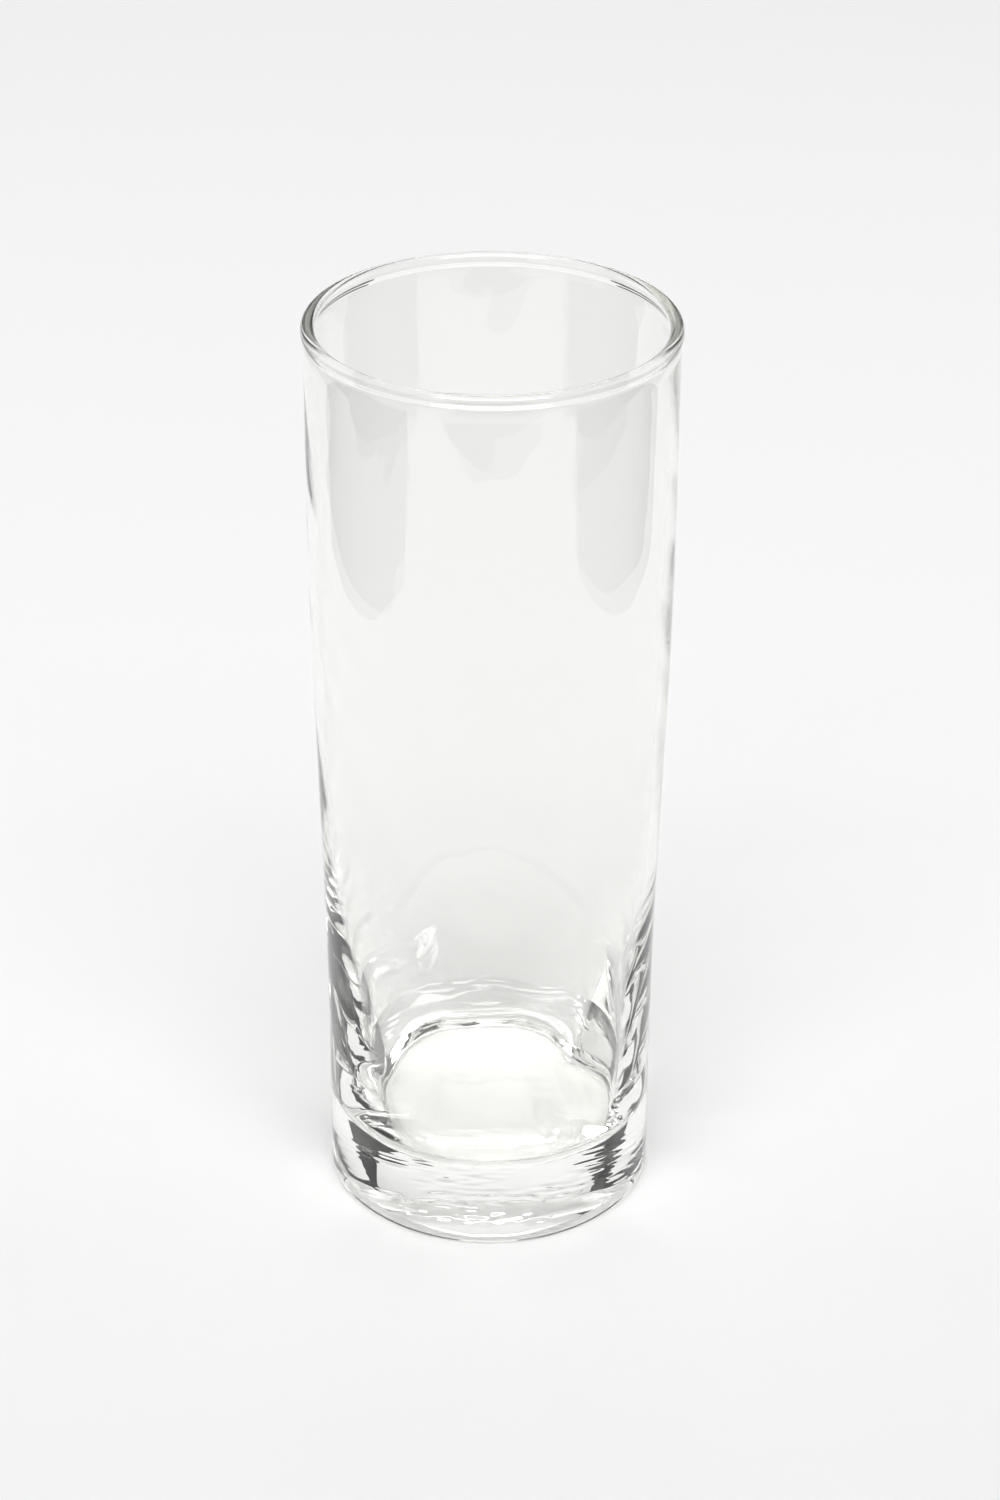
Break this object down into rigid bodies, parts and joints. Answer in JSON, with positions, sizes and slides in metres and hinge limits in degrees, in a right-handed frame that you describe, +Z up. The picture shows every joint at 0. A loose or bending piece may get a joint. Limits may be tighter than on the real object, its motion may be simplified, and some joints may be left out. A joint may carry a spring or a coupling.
{
  "type": "highball_glass",
  "caption": "Straight-sided highball drinking glass in clear glass, with a thick uneven base, a gently leaning wall that thins upwards and a beaded, fire-polished rim.",
  "frame": {"origin": "the centre of the foot, on the table that the glass stands on", "axes": "+Z up along the glass's axis, +X to the right and +Y to the back as the picture shows it; the outside is round about Z, the inner floor strays a little from round"},
  "size_m": [0.0608, 0.0608, 0.16],
  "materials": {
    "clear_glass": "clear soda-lime glass, fire-polished, smooth and glossy"
  },
  "bodies": {
    "root": {"glass_body": "clear_glass"}
  },
  "joints": []
}
